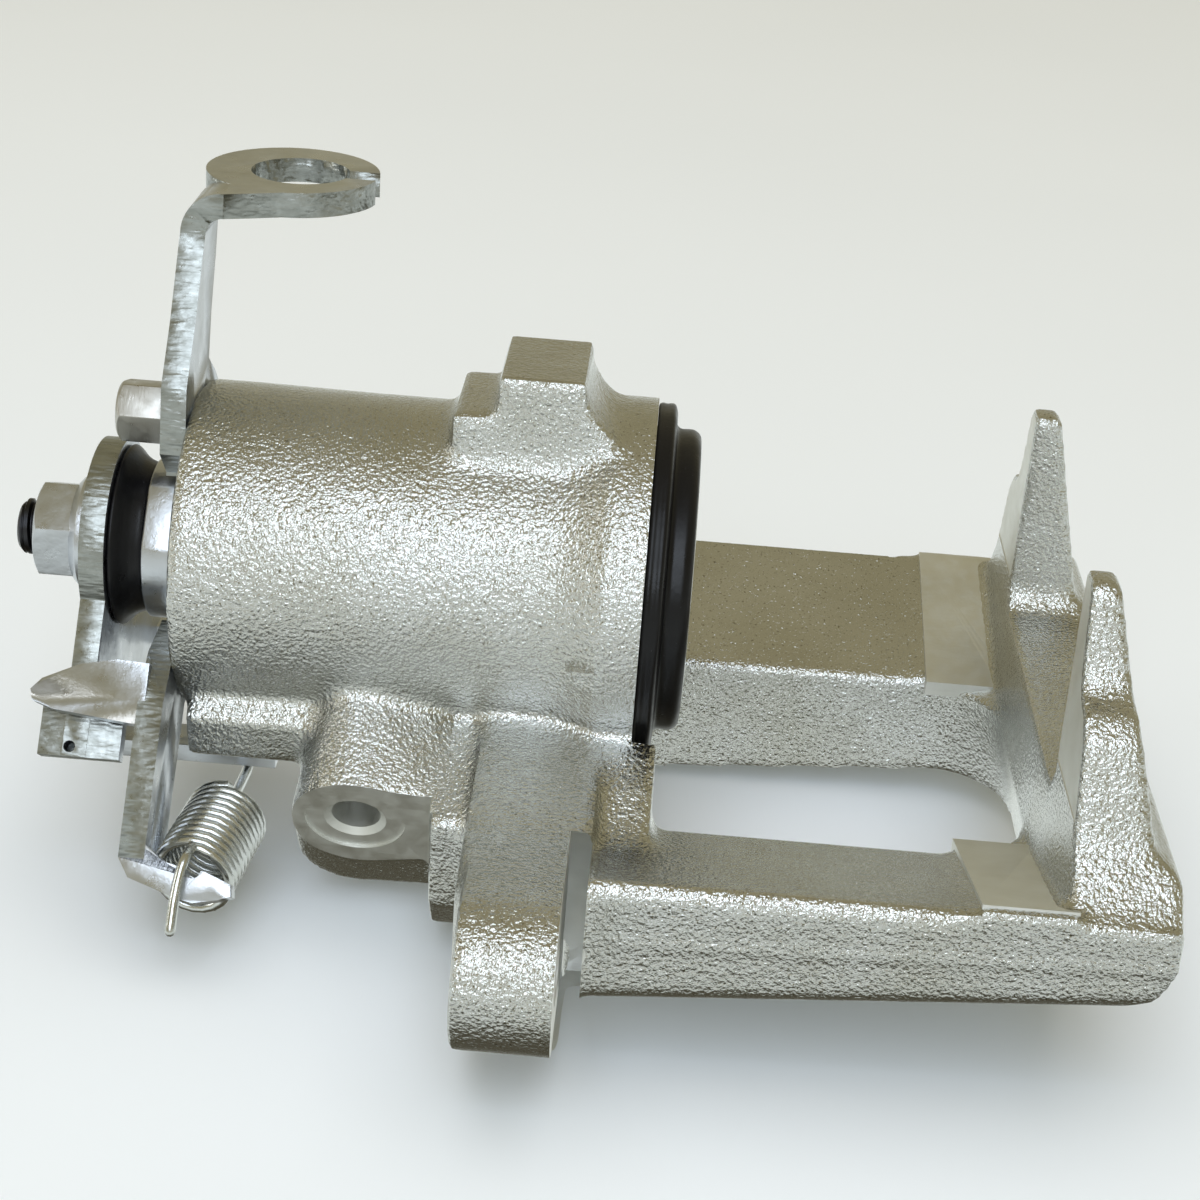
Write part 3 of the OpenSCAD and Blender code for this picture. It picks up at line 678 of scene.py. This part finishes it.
SPRING_AT = Vector((-58.5, -33.0, -35.9))
SPRING_LEN = 15.7
SPRING_TURNS = 11
COIL_R = 5.3
WIRE_R = 0.74
ARM_LEAN = math.radians(126.4)


def at_foot(x, y, z):
    """A point beside the bracket's foot: y runs down its arm and z from its front to its back."""
    c, s = math.cos(ARM_LEAN), math.sin(ARM_LEAN)
    return Vector((x, -37.3 + y * c + z * s, -31.6 - y * s + z * c))


def return_spring():
    turn = Matrix.Rotation(math.radians(83), 3, "Z") @ Matrix.Rotation(math.radians(-3.3), 3, "Y")
    steps = SPRING_TURNS * 22
    coil = []
    for k in range(steps + 1):
        a = 2 * math.pi * SPRING_TURNS * k / steps + math.radians(90)
        shape = Vector((SPRING_LEN * k / steps, COIL_R * math.cos(a), COIL_R * math.sin(a)))
        coil.append(SPRING_AT + turn @ shape)
    front = [at_foot(-59.2, 8.6, -1.2), at_foot(-59.1, 4.5, -1.3), at_foot(-58.8, 1.0, -1.2),
             at_foot(-58.4, -1.4, -0.6), at_foot(-58.2, -2.6, 1.2), at_foot(-58.1, -3.2, 3.2)]
    rear = [Vector(p) for p in ((-56.3, -14.2, -33.2), (-56.1, -8, -33.9), (-56, -4.9, -33.7),
                                (-56, -4.1, -32), (-56, -4.2, -29), (-56, -5.5, -27.7))]
    lead_in = smooth_path([*front, coil[0]], 6)[:-1]
    lead_out = smooth_path([coil[-1], *rear], 6)[1:]
    return wire("lever_spring", [at(*p) for p in lead_in + coil + lead_out], WIRE_R * MM, 12, WIRE)


# ---- lever shaft with its thread ----


def lever_shaft():
    piece = copy_of("shaft_forging", "lever_shaft")
    rings = []
    steps, turns, pitch = 32, 9, 1.25
    for k in range(steps * turns + 1):
        a = 2 * math.pi * k / steps
        middle = -90.6 + pitch * k / steps
        out = Vector((0, math.cos(a), math.sin(a)))
        section = ((-0.52, 4.35), (-0.06, 3.42), (0.06, 3.42), (0.52, 4.35))
        rings.append([at(*(Vector((middle + x, 0, 0)) + out * r)) for x, r in section])
    groove = sweep("groove", rings, False, BLACK)
    piece.data.materials.append(BLACK)
    cut = piece.modifiers.new("thread", "BOOLEAN")
    cut.operation = "DIFFERENCE"
    cut.solver = "MANIFOLD"
    cut.object = groove
    apply_modifiers(piece)
    bpy.data.objects.remove(groove)
    shade(piece, 30)
    return piece


# ---- build ----

place(casting(), "housing", "cast_zinc", "caliper_housing")

boot = dust_boot()
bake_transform(boot)
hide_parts("dust_boot")

place(shaft_boot(), "lever_group", "rubber", "shaft_boot")

spring = return_spring()
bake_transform(spring)
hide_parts("return_spring")

place(lever_shaft(), "lever_group", "black_steel", "lever_shaft")

# The cage's spring shortens as the spindle is pushed out; this copy keeps the CAD node's fixed shape
preload = copy_of("preload_spring", "cage_spring")
preload.data.materials.append(WIRE)
shade(preload, 40)
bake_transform(preload)
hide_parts("cage_spring")

bracket = bevelled("bracket_pressing", "cable_bracket", 0.3, 30, SHEET, SHEARED_X, SHEARED_Z)


def bracket_slot(c, n):
    if c.z > LUG_TOP - PLATE - 1.5:
        return 2 if abs(n.z) < 0.4 else 0
    if c.x < BRACKET_X - 0.2 or c.x > BRACKET_X + PLATE + 0.2:
        return 0
    return 1 if abs(n.x) < 0.4 else 0


paint(bracket, bracket_slot)
place(bracket, "housing", "zinc_plate", "cable_bracket")

lever = bevelled("lever_pressing", "park_lever", 0.3, 30, SHEET, SHEARED_X)
paint(lever, lambda c, n: int(LEVER_X - 0.1 < c.x < LEVER_X + PLATE + 0.1 and abs(n.x) < 0.4))
place(lever, "lever_group", "zinc_plate", "park_lever")

place(bevelled("flange_nut", "lever_nut", 0.22, 24, SHEET), "lever_group", "zinc_plate", "lever_nut")
place(bevelled("hex_screws", "bracket_bolts", 0.25, 24, PLAIN), "housing", "plain_steel", "bracket_bolts")
place(bevelled("gland_ring", "gland_collar", 0.3, 30, SHEET), "housing", "zinc_plate", "gland_collar")
place(bevelled("bleeder_body", "bleed_screw", 0.15, 24, YELLOW), "bleeder", "bleed_brass", "bleed_screw")
place(bevelled("bleeder_cover", "bleed_cap", 0.3, 30, RUBBER), "bleeder_cap", "rubber", "bleed_cap")
place(bevelled("piston_cup", "piston", 0.3, 40, CHROME), "piston_group", "piston_chrome", "piston")

FINISHES = {
    "piston_seal": RUBBER, "shaft_seal": RUBBER, "boot_retaining_ring": BRIGHT, "adjuster_nut": PLAIN,
    "adjuster_bearing": BRIGHT, "clutch_spring": WIRE, "adjuster_retaining_ring": DARK,
    "push_spindle": PLAIN, "spring_cage": PLAIN, "cage_circlip": DARK,
    "anti_rotation_pins": BRIGHT, "thrust_bearing": BRIGHT, "ramp_balls": BRIGHT, "shaft_bush": BRONZE,
}
for node, finish in FINISHES.items():
    NODES[node].data.materials.clear()
    NODES[node].data.materials.append(finish)


# ---- studio ----


def floor():
    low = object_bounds()[0].z - 0.001
    size = 3.0
    mesh = bpy.data.meshes.new("floor")
    corners = [(-size, -size, low), (size, -size, low), (size, size, low), (-size, size, low)]
    mesh.from_pydata(corners, [], [(0, 1, 2, 3)])
    ground = add_object("floor", mesh, floor_paint())
    ground.visible_glossy = False  # the metal mirrors the studio, not the paper it stands on
    ground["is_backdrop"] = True


def softbox(name, place, aim, width, height, watts, colour, mirrored=True):
    light = bpy.data.lights.new(name, "AREA")
    light.shape = "RECTANGLE"
    light.size, light.size_y = width, height
    light.energy = watts
    light.color = colour
    lamp = bpy.data.objects.new(name, light)
    bpy.context.scene.collection.objects.link(lamp)
    lamp.location = place
    lamp.visible_glossy = mirrored
    lamp.rotation_euler = (Vector(aim) - Vector(place)).to_track_quat("-Z", "Y").to_euler()


def sky():
    world = bpy.data.worlds.new("studio")
    bpy.context.scene.world = world
    world.use_nodes = True
    tree = world.node_tree
    direction = tree.nodes.new("ShaderNodeTexCoord").outputs["Generated"]
    split = tree.nodes.new("ShaderNodeSeparateXYZ")
    tree.links.new(direction, split.inputs[0])
    shift = tree.nodes.new("ShaderNodeMapRange")
    shift.inputs["From Min"].default_value = -1
    tree.links.new(split.outputs["Z"], shift.inputs["Value"])
    ramp = tree.nodes.new("ShaderNodeValToRGB")
    stops = ((0.0, (0.11, 0.1, 0.07)), (0.09, (0.13, 0.125, 0.095)), (0.22, (0.9, 0.96, 0.92)),
             (0.36, (0.94, 1.0, 0.97)), (0.5, (0.56, 0.56, 0.48)), (0.62, (0.4, 0.36, 0.22)),
             (1.0, (0.36, 0.32, 0.2)))
    while len(ramp.color_ramp.elements) < len(stops):
        ramp.color_ramp.elements.new(0.5)
    for element, (where, colour) in zip(ramp.color_ramp.elements, stops):
        element.position = where
        element.color = (*colour, 1)
    tree.links.new(shift.outputs["Result"], ramp.inputs["Fac"])
    background = tree.nodes["Background"]
    tree.links.new(ramp.outputs["Color"], background.inputs["Color"])
    background.inputs["Strength"].default_value = 1.0


def camera():
    data = bpy.data.cameras.new("camera")
    data.sensor_width = 36
    data.lens = 70.2
    data.clip_start = 0.01
    elevation, roll, yaw = math.radians(25), math.radians(4.75), math.radians(1.048)
    ahead = Vector((0, math.cos(elevation), -math.sin(elevation)))
    up = Vector((0, math.sin(elevation), math.cos(elevation)))
    yawed = Matrix.Rotation(yaw, 3, up)
    ahead, right = yawed @ ahead, yawed @ Vector((1, 0, 0))
    rolled = Matrix.Rotation(-roll, 3, ahead)
    right, up = rolled @ right, rolled @ up
    eye = bpy.data.objects.new("camera", data)
    bpy.context.scene.collection.objects.link(eye)
    turn = Matrix((right, up, -ahead)).transposed().to_4x4()
    eye.matrix_world = Matrix.Translation((-0.0065, -0.3046, 0.1378)) @ turn
    bpy.context.scene.camera = eye


floor()
sky()
softbox("key", (-0.05, -0.86, 0.72), (0, 0, 0), 0.7, 1.0, 7.5, (0.76, 0.86, 1.0))
softbox("top", (0, 0.3, 2.2), (0, 0.3, 0), 3.0, 3.0, 30, (0.97, 0.97, 1.0), mirrored=False)
softbox("fill", (-1.1, -0.2, 0.35), (0, 0, 0), 0.3, 0.4, 1.2, (0.95, 0.98, 1.0))
camera()
bpy.context.scene.view_settings.view_transform = "Standard"
